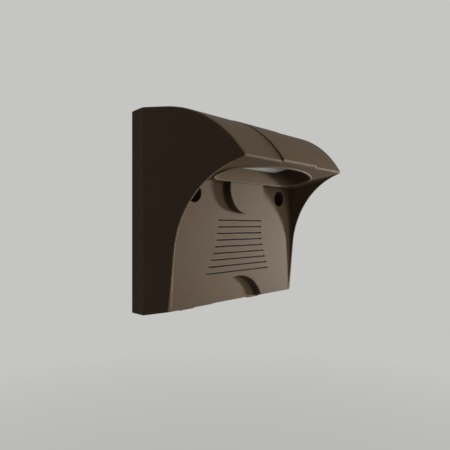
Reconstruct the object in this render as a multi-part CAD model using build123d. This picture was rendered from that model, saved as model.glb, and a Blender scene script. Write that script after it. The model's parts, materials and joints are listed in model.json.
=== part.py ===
from build123d import *
import os
from math import atan, cos, degrees, radians, sin, tan

# Wall pack light: a die-cast front housing with a curved hood hangs on two hinge pins
# from a shallow back box that screws to a wall. Millimetres; +Z up, X to the right, the
# wall is the plane Y = 0 and the light faces -Y. The origin is the centre of the back face.

# ---- driving dimensions -------------------------------------------------------------
WIDTH = 293.3            # across the back box
HEIGHT = 280.0           # bottom edge to top edge
SEAM = 23.3              # wall to the rear rim of the front housing
SEAM_GAP = 0.6           # back box rim to housing rim
DRAFT = 12.0             # taper of the housing's sides, bottom and underside, degrees
WALL = 3.5               # general casting wall
RIM = 5.0                # width of both rims at the seam
EDGE_ROUND = 2.2         # rounding of the outer casting edges
WING_ROUND = 1.5         # and of the wings' thin front edges
CORNER_ROUND = 4.0       # hollow corners between wings, panel and underside
SOFT_EDGE = 1.2          # edges of the raised disc, the arched recess and the band
BOX_TOP_FALL = 2.4       # how far the back box's top edge drops towards the wall
BOX_CORNER = 2.5         # its corners, seen from the front
SEAL_WIDE, SEAL_SINK, SEAL_THICK = 3.2, 1.4, 1.65

HOOD_RADIUS = 157.9      # hood section, seen from the side
HOOD_CENTRE = (19.9, 118.7)
HOOD_START = 38.0        # where the straight top runs into the curve
LIP_REACH = 152.5        # seam to the lower edge of the lip
LIP_HEIGHT = 201.6
BAND_HALF = 39.8         # raised band down the middle of the hood
BAND_RISE = 2.9          # how far it stands proud at the lip

PANEL_FOOT = (42.7, 8.9)     # front panel: lower edge
PANEL_HEAD = (49.6, 183.7)   # front panel: upper edge
RIM_BACK = (70.6, 184.2)     # rear edge of the light opening
WING_KNEE = (51.7, 91.2)     # wing edge: straight below, curved above
WING_SHOULDER = (141.8, 198.4)
WING_RADIUS = 127.9
WING_THIN = 3.5              # wing thickness at its front edge
WING_SPREAD = 4.2            # how the wings' inner faces open forward, degrees

DISC_RADIUS, DISC_HEIGHT, DISC_RISE = 37.8, 176.7, 11.9
ARCH_RADIUS, ARCH_HEIGHT, ARCH_DEPTH = 60.2, -16.0, 11.9
GROOVES, GROOVE_TOP, GROOVE_PITCH = 9, 128.5, 9.52
GROOVE_HALF, GROOVE_GROWTH = 49.7, 0.345     # half length of groove n: HALF + GROWTH n^2
GROOVE_WIDE, GROOVE_DEEP = 2.4, 1.6

SCREW_X, SCREW_HEIGHT = 96.5, 165.2          # door screws, seen from the front
ACCESS_RADIUS = 12.85
ACCESS_FLOOR = 20.0                          # seam to the floor of the access hole
FLOOR_THICK = 6.0
SHANK, SCREW_HOLE = 2.4, 3.0                 # captive screw and its hole in the floor
SCREW_TIP = -9.0                             # the screw's tip, behind the seam
RING_REACH, RING_THICK, RING_OUT = 3.0, 1.5, 4.6
POST, POST_SINK = 7.5, 2.0                   # back box's posts, and how far they stop short
INSERT_OUT, INSERT_BORE, INSERT_LONG, INSERT_SINK = 4.2, 2.9, 10.0, 0.2

OPENING_HALF, OPENING_DEEP = 92.0, 68.7      # light opening in the underside
OPENING_FRONT = 179.0                        # radius of its front edge
CEILING = 26.0                               # underside to the top of the light well
CEILING_HALF, CEILING_DEEP, CEILING_SET = 86.0, 50.0, 2.0
LEDGE = 9.0                                  # width of the glass ledge round the well
GASKET_THICK, FLANGE_THICK, FRAME_THICK = 1.0, 4.0, 1.5
DROP_HALF, DROP_DEEP, DROP_SET = 52.0, 40.0, 6.0
DROP_LEVEL = 17.0                            # underside to the face of the drop glass
EARS = [(50.0, -10.5), (98.5, 20.0), (67.0, 48.2)]   # lens frame screws: across, forward

BOARD_LEVEL, BOARD_THICK = 43.6, 1.6         # LED board above the underside
BOARD_WIDE, BOARD_DEEP, BOARD_MID = 100.0, 34.0, 21.0
LED_PITCH, LED_ROWS, LED_SIZE, LED_TALL = 11.0, (14.0, 28.0), 5.0, 0.8
PAD_THICK, CARRIER_THICK = 0.4, 5.0
CARRIER_WIDE, CARRIER_DEEP = 130.0, 40.0
CARRIER_HOLES = [(58.0, 7.0), (58.0, 35.0)]

DRIVER_WIDE, DRIVER_TALL, DRIVER_DEEP = 110.0, 56.0, 28.0
DRIVER_HEIGHT, DRIVER_BACK = 90.0, 6.5       # middle of the driver, seam to its back
BRACKET_THICK = 1.5
BRACKET_HOLES = [(63.0, 68.0), (63.0, 112.0)]
SMALL_SCREW, CARRIER_SCREW, FRAME_SCREW = 1.5, 2.0, 1.75   # shank radii
CONNECTOR_X, CONNECTOR_HEIGHTS = -96.0, (78.0, 90.0, 102.0)
CONNECTOR_REACH, HOLDER_BASE = 22.0, 34.0    # seam to the connectors' rear, and to their tray
LEAD = 1.1                                   # radius of the insulated leads

HINGE_X, HINGE_REACH, HINGE_HEIGHT = 75.0, 8.0, 2.0
KNUCKLE, PIN, PIN_PLAY = 3.0, 1.5, 0.08      # hinge radii and the moving holes' play
FIXED_LUG, MOVING_LUG, LUG_GAP = 10.0, 8.0, 0.4

ENTRY_RADIUS, GROMMET_BORE = 11.1, 8.0       # supply entry in the middle of the back
BOX_LINE_WIDE, BOX_LINE_TALL = 88.9, 83.3    # junction box screws, on two lines
WALL_HOLES_WIDE, WALL_HOLES_TALL = 240.0, 220.0
WALL_HOLE, BOX_HOLE = 3.5, 2.6
FOAM_WIDE, FOAM_SINK, FOAM_INSET = 10.0, 2.0, 6.0
RIB_X, RIB_HEIGHTS, RIB_THICK, RIB_TALL = 68.0, (92.0, 196.0), 2.0, 4.0
GROUND_PLACE, GROUND_TALL = (34.0, 62.0), 7.0

SLOPE = tan(radians(DRAFT))
LEAN = (PANEL_HEAD[0] - PANEL_FOOT[0]) / (PANEL_HEAD[1] - PANEL_FOOT[1])
FAR = 400.0                                  # longer than any feature


# ---- planes ------------------------------------------------------------------------
def spot(x, reach, height):
    """A point given as X, distance in front of the seam and height above the bottom edge."""
    return Vector(x, -(SEAM + reach), height - HEIGHT / 2)


SIDE = Plane(origin=spot(0, 0, 0), x_dir=(0, -1, 0), z_dir=(-1, 0, 0))
PLAN = Plane(origin=spot(0, 0, 0), x_dir=(1, 0, 0), z_dir=(0, 0, -1))
PANEL = Plane(origin=spot(0, *PANEL_FOOT), x_dir=(1, 0, 0), z_dir=(0, -1, -LEAN))
LIGHT = Plane(
    origin=spot(0, *RIM_BACK),
    x_dir=(-1, 0, 0),
    z_dir=(0, sin(radians(DRAFT)), cos(radians(DRAFT))),
)


def facing(reach):
    """Vertical plane in front of the seam, X to the right, Y up from the bottom edge."""
    return Plane(origin=spot(0, reach, 0), x_dir=(1, 0, 0), z_dir=(0, -1, 0))


def stack(rise):
    """Plane parallel to the light opening, that far above it."""
    return LIGHT.offset(rise)


# ---- small helpers -------------------------------------------------------------------
def across(face, half=FAR):
    return extrude(face, amount=half, both=True)


def polygon(plane, *points):
    return plane * make_face(Polyline(*points, close=True))


def rod(plane, x, y, radius, start, end):
    """Round bar or bore, from one distance in front of the plane to another."""
    return extrude(plane.offset(start) * Pos(x, y) * Circle(radius), amount=end - start)


def peg(plane, x, y, radius, start, end, sides=8):
    """Flat-sided bar: hexagon heads, and plain shanks, holes and bosses of small screws."""
    outline = Pos(x, y) * RegularPolygon(radius, sides)
    return extrude(plane.offset(start) * outline, amount=end - start)


def block(plane, x, y, wide, tall, start, end, corner=0.0):
    outline = RectangleRounded(wide, tall, corner) if corner else Rectangle(wide, tall)
    return extrude(plane.offset(start) * Pos(x, y) * outline, amount=end - start)


def span(outline, low, high):
    """A side view outline (reach, height) drawn out from X = low to X = high."""
    return extrude(SIDE.offset(-high) * outline, amount=high - low)


def bar(low, high, reach, height, radius):
    return span(Pos(reach, height) * Circle(radius), low, high)


def pair(piece):
    """A piece at the right and its mirror image at the left."""
    return [piece, mirror(piece, about=Plane.YZ)]


def group(pieces):
    return Compound(children=[solid for piece in pieces for solid in piece.solids()])


def both_sides(points):
    return [(side * x, y) for x, y in points for side in (1, -1)]


def hood_height(reach, radius=HOOD_RADIUS):
    return HOOD_CENTRE[1] + (radius**2 - (reach - HOOD_CENTRE[0]) ** 2) ** 0.5


def panel_reach(height):
    return PANEL_FOOT[0] + LEAN * (height - PANEL_FOOT[1])


def on_panel(height):
    """Distance up the leaning panel plane of a height above the bottom edge."""
    return (height - PANEL_FOOT[1]) / cos(atan(LEAN))


def half_width(reach, inset=0.0):
    return WIDTH / 2 - inset - SLOPE * reach


def d_shape(half, deep, set_back, front_radius, rear_corner, front_corner):
    """Plan of the light opening: straight rear edge, straight sides, bowed front."""
    sag = front_radius - (front_radius**2 - half**2) ** 0.5
    side = set_back + deep - sag
    outline = (
        Line((-half, side), (-half, set_back))
        + Line((-half, set_back), (half, set_back))
        + Line((half, set_back), (half, side))
        + ThreePointArc((half, side), (0, set_back + deep), (-half, side))
    )
    face = fillet(make_face(outline).vertices().filter_by(lambda v: v.Y < set_back + 0.1), rear_corner)
    return fillet(face.vertices().filter_by(lambda v: abs(v.Y - side) < 0.1), front_corner)


# ---- front housing ---------------------------------------------------------------------
def housing_envelope():
    lip_top = LIP_REACH + 0.4
    outline = (
        Line((0, 0), PANEL_FOOT)
        + Line(PANEL_FOOT, WING_KNEE)
        + RadiusArc(WING_KNEE, WING_SHOULDER, WING_RADIUS)
        + Line(WING_SHOULDER, (LIP_REACH, LIP_HEIGHT))
        + Line((LIP_REACH, LIP_HEIGHT), (lip_top, hood_height(lip_top)))
        + RadiusArc(
            (lip_top, hood_height(lip_top)),
            (HOOD_START, hood_height(HOOD_START)),
            -HOOD_RADIUS,
        )
        + Line((HOOD_START, hood_height(HOOD_START)), (0, HEIGHT))
        + Line((0, HEIGHT), (0, 0))
    )
    section = across(SIDE * make_face(outline))
    far = 180.0
    taper = polygon(
        PLAN,
        (-half_width(0), 0),
        (half_width(0), 0),
        (half_width(far), far),
        (-half_width(far), far),
    )
    solid = section & across(taper)
    rounded = fillet(side_edges(solid, front=False), EDGE_ROUND)
    return fillet(side_edges(rounded, front=True), WING_ROUND)


def side_edges(solid, front):
    """Edges between the sides and the hood and bottom, or down the wings' front."""
    chosen = []
    for edge in solid.edges():
        box = edge.bounding_box()
        reach = -box.max.Y - SEAM
        on_side = box.max.X - box.min.X < 60 and min(abs(box.max.X), abs(box.min.X)) > 100
        on_front = reach > PANEL_FOOT[0] - 0.1 and box.min.Z < LIP_HEIGHT - 2 - HEIGHT / 2
        if on_side and box.size.Y > 0.2 and on_front == front:
            chosen.append(edge)
    return chosen


def recess_outline(spread):
    """Front view of the space between the wings, opened sideways by spread."""
    inner = half_width(PANEL_FOOT[0], WING_THIN) + spread
    knee = (inner - 2.0, WING_KNEE[1])
    crown = (103.0 + spread, LIP_HEIGHT)
    edge = Spline(
        knee,
        (126.0 + spread, 148.0),
        (117.2 + spread, 179.0),
        crown,
        tangents=[(-0.03, 1), (-0.8, 0.6)],
    )
    right = Line((inner, -40), (inner, PANEL_FOOT[1])) + Line((inner, PANEL_FOOT[1]), knee) + edge
    left = mirror(right, about=Plane.YZ)
    ends = Line((inner, -40), (-inner, -40)) + Line(crown, (-crown[0], crown[1]))
    return make_face(right + left + ends)


def wing_recess():
    """Space between the wings, under the hood and in front of the panel."""
    start, end = PANEL_FOOT[0] - 4, LIP_REACH + 10
    spread = (end - start) * tan(radians(WING_SPREAD))
    space = loft(
        [facing(start) * recess_outline(0), facing(end) * recess_outline(spread)], ruled=True
    )
    reach = LIP_REACH + 60
    section = polygon(
        SIDE,
        (panel_reach(-40), -40),
        (reach, -40),
        (reach, LIP_HEIGHT + SLOPE * 60),
        RIM_BACK,
        PANEL_HEAD,
    )
    return space & across(section)


def inner_corners(body):
    """Edges where the wings meet the panel and the underside."""
    chosen = []
    for edge in body.edges():
        box, middle = edge.bounding_box(), edge @ 0.5
        reach, height = -middle.Y - SEAM, middle.Z + HEIGHT / 2
        underside = RIM_BACK[1] + SLOPE * (reach - RIM_BACK[0])
        along_panel = abs(reach - panel_reach(height)) < 0.5 and box.size.Z > 30
        along_underside = abs(height - underside) < 0.6 and box.size.Y > 30
        if abs(middle.X) > 90 and (along_panel or along_underside):
            chosen.append(edge)
    return chosen


def hood_band():
    """Raised band: it leaves the hood at the top and stands proud at the lip."""
    lip_top = LIP_REACH + 0.4
    out = Vector(lip_top - HOOD_CENTRE[0], hood_height(lip_top) - HOOD_CENTRE[1]).normalized()
    rise = out * BAND_RISE
    top = (lip_top + rise.X, hood_height(lip_top) + rise.Y)
    low = (LIP_REACH + rise.X, LIP_HEIGHT + rise.Y)
    root = (LIP_REACH - 3, LIP_HEIGHT - 3 * SLOPE)
    start = (HOOD_START, hood_height(HOOD_START))
    deep = (start[0], start[1] - 2 * BAND_RISE)
    outline = (
        Line(root, low)
        + Line(low, top)
        + RadiusArc(top, start, -HOOD_RADIUS - 2.2)
        + Line(start, deep)
        + Line(deep, root)
    )
    band = across(SIDE * make_face(outline), BAND_HALF)
    long_edges = band.edges().filter_by(GeomType.CIRCLE)
    band = fillet(long_edges, SOFT_EDGE)
    notch = polygon(SIDE, root, low, (low[0], low[1] - 8), (root[0], root[1] - 8))
    return band, across(notch, BAND_HALF)


def housing_hollow():
    """Inside of the housing: one chamber behind the panel that runs up under the hood."""
    top_inner = HOOD_RADIUS - 4.0
    nose = LIP_REACH - 11.5
    floor_rise = WALL / cos(radians(DRAFT))
    outline = (
        Line((-1, RIM), (PANEL_FOOT[0] - WALL, PANEL_FOOT[1] + WALL))
        + Line(
            (PANEL_FOOT[0] - WALL, PANEL_FOOT[1] + WALL),
            (PANEL_HEAD[0] - WALL, PANEL_HEAD[1] + WALL),
        )
        + Line(
            (PANEL_HEAD[0] - WALL, PANEL_HEAD[1] + WALL),
            (RIM_BACK[0], RIM_BACK[1] + floor_rise),
        )
        + Line(
            (RIM_BACK[0], RIM_BACK[1] + floor_rise),
            (nose, RIM_BACK[1] + floor_rise + SLOPE * (nose - RIM_BACK[0])),
        )
        + Line(
            (nose, RIM_BACK[1] + floor_rise + SLOPE * (nose - RIM_BACK[0])),
            (nose, hood_height(nose, top_inner)),
        )
        + RadiusArc(
            (nose, hood_height(nose, top_inner)),
            (HOOD_START, hood_height(HOOD_START, top_inner)),
            -top_inner,
        )
        + Line((HOOD_START, hood_height(HOOD_START, top_inner)), (-1, HEIGHT - RIM))
        + Line((-1, HEIGHT - RIM), (-1, RIM))
    )
    land = (RIM - WALL) / SLOPE
    plan = polygon(
        PLAN,
        (-half_width(0, RIM), -1),
        (half_width(0, RIM), -1),
        (half_width(0, RIM), land),
        (half_width(180, WALL), 180),
        (-half_width(180, WALL), 180),
        (-half_width(0, RIM), land),
    )
    return across(SIDE * make_face(outline)) & across(plan)


def light_well():
    """Walls of the light opening up to the ledge that carries the glass, and its inside."""
    low = d_shape(OPENING_HALF, OPENING_DEEP, 0, OPENING_FRONT, 22, 18)
    high = well_top()
    inside = loft([stack(-4) * low, stack(0) * low], ruled=True)
    inside += loft([stack(0) * low, stack(CEILING) * high], ruled=True)
    outside = loft(
        [stack(0) * offset(low, 3), stack(CEILING) * offset(high, 3)], ruled=True
    )
    outside += extrude(stack(CEILING - 3) * offset(high, LEDGE), amount=3)
    inside += extrude(stack(CEILING) * high, amount=20)
    bead = extrude(stack(-1.2) * offset(low, 2.6), amount=3)
    return outside, bead, inside


def grooves():
    cuts = []
    for n in range(GROOVES):
        height = on_panel(GROOVE_TOP - n * GROOVE_PITCH)
        half = GROOVE_HALF + GROOVE_GROWTH * n**2
        cuts.append(block(PANEL, 0, height, 2 * half, GROOVE_WIDE, -GROOVE_DEEP, 2))
    return cuts


def lug_notch(x):
    """Room in the housing's bottom wall for one fixed hinge lug."""
    clear = KNUCKLE + 0.6
    outline = Polyline(
        (-1, -5),
        (-1, 2.1),
        (0.5, 2.1),
        (HINGE_REACH, HINGE_HEIGHT + clear),
        (HINGE_REACH + clear, HINGE_HEIGHT + clear),
        (HINGE_REACH + clear, -5),
        close=True,
    )
    half = FIXED_LUG / 2 + LUG_GAP
    return span(make_face(outline), x - half, x + half)


def moving_knuckles():
    """Knuckles either side of each fixed lug, with the pin hole to be bored."""
    knuckles, holes = [], []
    start = FIXED_LUG / 2 + LUG_GAP
    for low in (HINGE_X + start, HINGE_X - start - MOVING_LUG):
        high = low + MOVING_LUG
        knuckles += pair(bar(low, high, HINGE_REACH, HINGE_HEIGHT, KNUCKLE))
        holes += pair(bar(low - 1, high + 1, HINGE_REACH, HINGE_HEIGHT, PIN + PIN_PLAY))
    return knuckles, holes


def arch_rim(body):
    """The arched recess's curved edge on the panel."""
    rim = []
    for edge in body.edges().filter_by(GeomType.CIRCLE):
        middle = edge @ 0.5
        reach, height = -middle.Y - SEAM, middle.Z + HEIGHT / 2
        off_centre = Vector(middle.X, height - ARCH_HEIGHT).length
        if abs(reach - panel_reach(height)) < 0.3 and abs(off_centre - ARCH_RADIUS) < 1:
            rim.append(edge)
    return rim


def carrier_top():
    return BOARD_LEVEL + BOARD_THICK + PAD_THICK + CARRIER_THICK


def panel_bosses():
    """Bosses behind the panel for the driver bracket and the connector holder."""
    front = DRIVER_BACK + DRIVER_DEEP + BRACKET_THICK
    places = both_sides(BRACKET_HOLES) + [(CONNECTOR_X, h) for h in holder_holes()]
    return [(x, h, front) for x, h in places]


def holder_holes():
    return (CONNECTOR_HEIGHTS[0] - 15, CONNECTOR_HEIGHTS[2] + 15)


def front_housing():
    body = housing_envelope() - wing_recess()
    body = fillet(inner_corners(body), CORNER_ROUND)
    band, notch = hood_band()
    body = body - notch + band

    # raised disc under the hood, hollow behind
    disc_y = on_panel(DISC_HEIGHT)
    head = polygon(
        SIDE, (30, -20), (90, -20), (90, RIM_BACK[1] + 2), (30, RIM_BACK[1] + 2)
    )
    disc = rod(PANEL, 0, disc_y, DISC_RADIUS, -1, DISC_RISE)
    disc = fillet(disc.faces().sort_by(Axis.Y)[0].edges(), SOFT_EDGE)
    body += disc & across(head)

    hollow = housing_hollow()
    core = polygon(SIDE, (30, 120), (90, 120), (90, RIM_BACK[1] - WALL), (30, RIM_BACK[1] - WALL))
    hollow += rod(PANEL, 0, disc_y, DISC_RADIUS - WALL, -12, DISC_RISE - WALL) & across(core)
    # the arched recess and the access tunnels keep their own walls inside the hollow
    arch_y = on_panel(ARCH_HEIGHT)
    hollow -= rod(PANEL, 0, arch_y, ARCH_RADIUS + WALL, -ARCH_DEPTH - WALL, 5)
    floor_back = ACCESS_FLOOR - FLOOR_THICK
    for x in (-SCREW_X, SCREW_X):
        hollow -= rod(facing(0), x, SCREW_HEIGHT, ACCESS_RADIUS + 3, floor_back, 60)
    outside, bead, inside = light_well()
    hollow -= outside
    # posts under the hood for the LED carrier and bosses behind the panel
    for x, forward in both_sides(CARRIER_HOLES):
        hollow -= peg(LIGHT, x, forward, 5.4, carrier_top(), 90, 12)
    for x, height, back in panel_bosses():
        hollow -= peg(facing(0), x, height, 4.3, back, 50, 12)
    for x in (-HINGE_X, HINGE_X):
        hollow -= block(PLAN, x, 6, FIXED_LUG + 2 * MOVING_LUG + 4, 16, -9.5, 5)
    body -= hollow

    body += bead
    body -= inside
    for x, forward in both_sides(EARS):
        body += peg(LIGHT, x, forward, 5.3, CEILING - 6, CEILING, 12)
    body -= rod(PANEL, 0, arch_y, ARCH_RADIUS, -ARCH_DEPTH, 20)
    body = fillet(arch_rim(body), SOFT_EDGE)
    for x in (-SCREW_X, SCREW_X):
        body -= rod(facing(0), x, SCREW_HEIGHT, ACCESS_RADIUS, ACCESS_FLOOR, 60)
        body -= rod(facing(0), x, SCREW_HEIGHT, SCREW_HOLE, -1, 30)
    for cut in grooves():
        body -= cut

    knuckles, pin_holes = moving_knuckles()
    for knuckle in knuckles:
        body += knuckle
    for cut in pin_holes + [lug_notch(-HINGE_X), lug_notch(HINGE_X)]:
        body -= cut
    for x, forward in both_sides(EARS):
        body -= peg(LIGHT, x, forward, FRAME_SCREW, CEILING - 5, CEILING + 5)
    for x, forward in both_sides(CARRIER_HOLES):
        body -= peg(LIGHT, x, forward, CARRIER_SCREW, carrier_top(), carrier_top() + 11)
    for x, height, back in panel_bosses():
        body -= peg(facing(0), x, height, SMALL_SCREW, back, back + 5)
    return body


# ---- the glass and what holds it ---------------------------------------------------------
def well_top():
    return d_shape(CEILING_HALF, CEILING_DEEP, CEILING_SET, 150, 14, 8)


def well_outline(grow):
    return offset(well_top(), grow)


def lens():
    """Drop glass: a flat flange on the ledge and a bowl that hangs into the well."""
    base = CEILING + GASKET_THICK
    flange = extrude(stack(base) * well_outline(LEDGE - 1), amount=FLANGE_THICK)
    bowl = d_shape(DROP_HALF + 4, DROP_DEEP, DROP_SET, 130, 12, 10)
    foot = d_shape(DROP_HALF, DROP_DEEP - 4, DROP_SET + 2, 130, 10, 8)
    drop = loft([stack(DROP_LEVEL) * foot, stack(base + 1) * bowl], ruled=True)
    inner_top = offset(bowl, -3)
    inner_low = offset(foot, -3)
    hollow = loft(
        [stack(DROP_LEVEL + 3) * inner_low, stack(base + FLANGE_THICK) * inner_top], ruled=True
    )
    return flange + drop - hollow


def lens_gasket():
    return extrude(
        stack(CEILING) * (well_outline(LEDGE - 1) - well_outline(2)), amount=GASKET_THICK
    )


def frame_level():
    return CEILING + GASKET_THICK + FLANGE_THICK


def lens_frame():
    """Sheet frame that clamps the glass, with an ear and a spacer at each screw."""
    level = frame_level()
    frame = extrude(stack(level) * (well_outline(LEDGE) - well_outline(-2)), amount=FRAME_THICK)
    for x, forward in both_sides(EARS):
        ear = peg(LIGHT, x, forward, 4.8, CEILING, level + FRAME_THICK, 12)
        frame += ear & outside_glass()
        frame -= peg(LIGHT, x, forward, FRAME_SCREW, CEILING - 1, level + 5)
    return frame


def outside_glass():
    """Everything at the frame's level or clear of the edge of the glass."""
    space = extrude(stack(CEILING - 5) * Rectangle(FAR, FAR), amount=30)
    return space - extrude(stack(CEILING - 6) * well_outline(LEDGE - 0.6), amount=6 + 5)


def screw(plane, x, y, seat, radius, length, head_radius, head_tall, sense=1):
    """Hex head screw seated at an offset of the plane; sense -1 points it the other way."""
    head = peg(plane, x, y, head_radius, seat, seat - sense * head_tall, 6)
    return head + peg(plane, x, y, radius, seat, seat + sense * length)


def lens_frame_screws():
    level = frame_level() + FRAME_THICK
    return group(
        screw(LIGHT, x, forward, level, FRAME_SCREW, level - CEILING + 4.5, 3.4, 2, sense=-1)
        for x, forward in both_sides(EARS)
    )


# ---- light engine ------------------------------------------------------------------------
def led_places():
    columns = [(n + 0.5) * LED_PITCH * side for n in range(4) for side in (1, -1)]
    return [(x, row) for x in columns for row in LED_ROWS]


def board_screw_places():
    return [(-46.5, BOARD_MID), (0.0, BOARD_MID), (46.5, BOARD_MID)]


def reflector():
    """White tray from the lens frame up to the board, with a window for each package."""
    low, high = frame_level() + FRAME_THICK, BOARD_LEVEL - 0.4
    wide = well_outline(-2)
    small = d_shape(54, 36, 4, 150, 6, 6)
    tray = loft([stack(low) * wide, stack(high) * small], ruled=True)
    inside = loft(
        [stack(low - 0.01) * offset(wide, -1.2), stack(high - 1.2) * offset(small, -1.2)],
        ruled=True,
    )
    tray -= inside
    for x, row in led_places():
        tray -= block(LIGHT, x, row, LED_SIZE + 1, LED_SIZE + 1, low, high + 1)
    for x, row in board_screw_places():
        tray -= peg(LIGHT, x, row, SMALL_SCREW, low, high + 1)
    return tray


def led_packages():
    pieces = []
    for x, row in led_places():
        level = BOARD_LEVEL - LED_TALL
        pieces.append(block(LIGHT, x, row, LED_SIZE, LED_SIZE, level, BOARD_LEVEL))
    return group(pieces)


def led_board():
    board = block(
        LIGHT, 0, BOARD_MID, BOARD_WIDE, BOARD_DEEP, BOARD_LEVEL, BOARD_LEVEL + BOARD_THICK, 2
    )
    for x, row in board_screw_places():
        board -= peg(LIGHT, x, row, SMALL_SCREW, BOARD_LEVEL - 1, BOARD_LEVEL + 5)
    return board


def thermal_pad():
    level = BOARD_LEVEL + BOARD_THICK
    pad = block(LIGHT, 0, BOARD_MID, BOARD_WIDE - 2, BOARD_DEEP - 2, level, level + PAD_THICK)
    for x, row in board_screw_places():
        pad -= peg(LIGHT, x, row, SMALL_SCREW, level - 1, level + 2)
    return pad


def led_carrier():
    level = BOARD_LEVEL + BOARD_THICK + PAD_THICK
    plate = block(
        LIGHT, 0, BOARD_MID, CARRIER_WIDE, CARRIER_DEEP, level, level + CARRIER_THICK, 4
    )
    for x, forward in both_sides(CARRIER_HOLES):
        plate -= peg(LIGHT, x, forward, CARRIER_SCREW, level - 1, level + 10)
    for x, row in board_screw_places():
        plate -= peg(LIGHT, x, row, SMALL_SCREW, level - 1, level + 4.5)
    return plate


def led_board_screws():
    seat = BOARD_LEVEL - 1.6
    return group(
        screw(LIGHT, x, row, seat, SMALL_SCREW, 7, 2.7, 1.6) for x, row in board_screw_places()
    )


def carrier_screws():
    seat = BOARD_LEVEL + BOARD_THICK + PAD_THICK
    return group(
        screw(LIGHT, x, forward, seat, CARRIER_SCREW, CARRIER_THICK + 10, 3.6, 2.2)
        for x, forward in both_sides(CARRIER_HOLES)
    )


# ---- driver and wiring ---------------------------------------------------------------------
def driver():
    """Potted LED driver in an aluminium case with two end caps."""
    middle = block(
        facing(0),
        0,
        DRIVER_HEIGHT,
        DRIVER_WIDE - 6,
        DRIVER_TALL - 1,
        DRIVER_BACK,
        DRIVER_BACK + DRIVER_DEEP,
        2,
    )
    for side in (1, -1):
        end = side * (DRIVER_WIDE / 2 - 2)
        middle += block(
            facing(0), end, DRIVER_HEIGHT, 4, DRIVER_TALL, DRIVER_BACK, DRIVER_BACK + DRIVER_DEEP
        )
    return middle


def driver_bracket():
    """Sheet channel: a base against the panel bosses and two folded ends."""
    base = DRIVER_BACK + DRIVER_DEEP
    half = DRIVER_WIDE / 2 + 0.3
    plate = block(
        facing(0), 0, DRIVER_HEIGHT, 2 * half + 28, DRIVER_TALL + 2, base, base + BRACKET_THICK, 5
    )
    for side in (1, -1):
        x = side * (half + BRACKET_THICK / 2)
        plate += block(facing(0), x, DRIVER_HEIGHT, BRACKET_THICK, 30, base - 15, base + 1)
    for x, height in both_sides(BRACKET_HOLES):
        plate -= peg(facing(0), x, height, SMALL_SCREW, base - 1, base + 5)
    plate -= block(facing(0), 0, DRIVER_HEIGHT, 70, 30, base - 1, base + 5)
    return plate


def driver_screws():
    seat = DRIVER_BACK + DRIVER_DEEP
    return group(
        screw(facing(0), x, height, seat, SMALL_SCREW, 6, 3.1, 2)
        for x, height in both_sides(BRACKET_HOLES)
    )


def connector_block(height):
    """Three-way push-in connector lying across, its wire ports towards the driver."""
    reach = CONNECTOR_REACH
    body = block(facing(0), CONNECTOR_X, height, 20, 7, reach, HOLDER_BASE)
    for step in (-1, 0, 1):
        centre = CONNECTOR_X + 9
        middle = reach + 6 + 3.8 * step
        body -= block(facing(0), centre, height, 4, 2.6, middle - 1.3, middle + 1.3)
    return body


def wire_connectors():
    return group(connector_block(height) for height in CONNECTOR_HEIGHTS)


def connector_holder():
    """Moulded tray that keeps the three connectors side by side."""
    base, top = HOLDER_BASE, DRIVER_BACK + DRIVER_DEEP + BRACKET_THICK
    low, high = holder_holes()
    middle = (low + high) / 2
    tray = block(facing(0), CONNECTOR_X, middle, 22, high - low + 12, base, top, 3)
    edges = [CONNECTOR_HEIGHTS[0] - 6, CONNECTOR_HEIGHTS[2] + 6]
    edges += [(a + b) / 2 for a, b in zip(CONNECTOR_HEIGHTS, CONNECTOR_HEIGHTS[1:])]
    for height in edges:
        tray += block(facing(0), CONNECTOR_X, height, 16, 1.6, base - 9, base + 1)
    for height in (low, high):
        tray -= peg(facing(0), CONNECTOR_X, height, SMALL_SCREW, base - 1, top + 1)
    return tray


def holder_screws():
    return group(
        screw(facing(0), CONNECTOR_X, height, HOLDER_BASE, SMALL_SCREW, 6, 3.1, 2)
        for height in holder_holes()
    )


def tube(route, radius, radii):
    path = FilletPolyline(*route, radius=radii)
    section = Plane(origin=path @ 0, z_dir=path % 0) * RegularPolygon(radius, 8)
    return sweep(section, path=path)


def lead_from_board(x):
    """Lead from the rear edge of the LED board down to the top of the driver."""
    edge = BOARD_MID - BOARD_DEEP / 2
    start = LIGHT.from_local_coords((-x, edge, BOARD_LEVEL + 0.8))
    bend = LIGHT.from_local_coords((-x, edge - 24, BOARD_LEVEL + 0.8))
    low = spot(x, DRIVER_BACK + 14, DRIVER_HEIGHT + DRIVER_TALL / 2 + 50)
    end = spot(x, DRIVER_BACK + 14, DRIVER_HEIGHT + DRIVER_TALL / 2)
    return tube([start, bend, low, end], LEAD, [14, 20])


def supply_lead(height):
    """Lead from the driver's end to its connector, with one gentle step in height."""
    reach = CONNECTOR_REACH + 6
    port = CONNECTOR_X + 10
    step = (height - CONNECTOR_HEIGHTS[1]) * 0.5
    start = spot(-DRIVER_WIDE / 2, reach - 16, DRIVER_HEIGHT - 6 + step)
    out = start + Vector(-9, 0, 0)
    end = spot(port, reach, height)
    near = end + Vector(9, 0, 0)
    return tube([start, out, near, end], LEAD, [6, 6])


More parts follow.
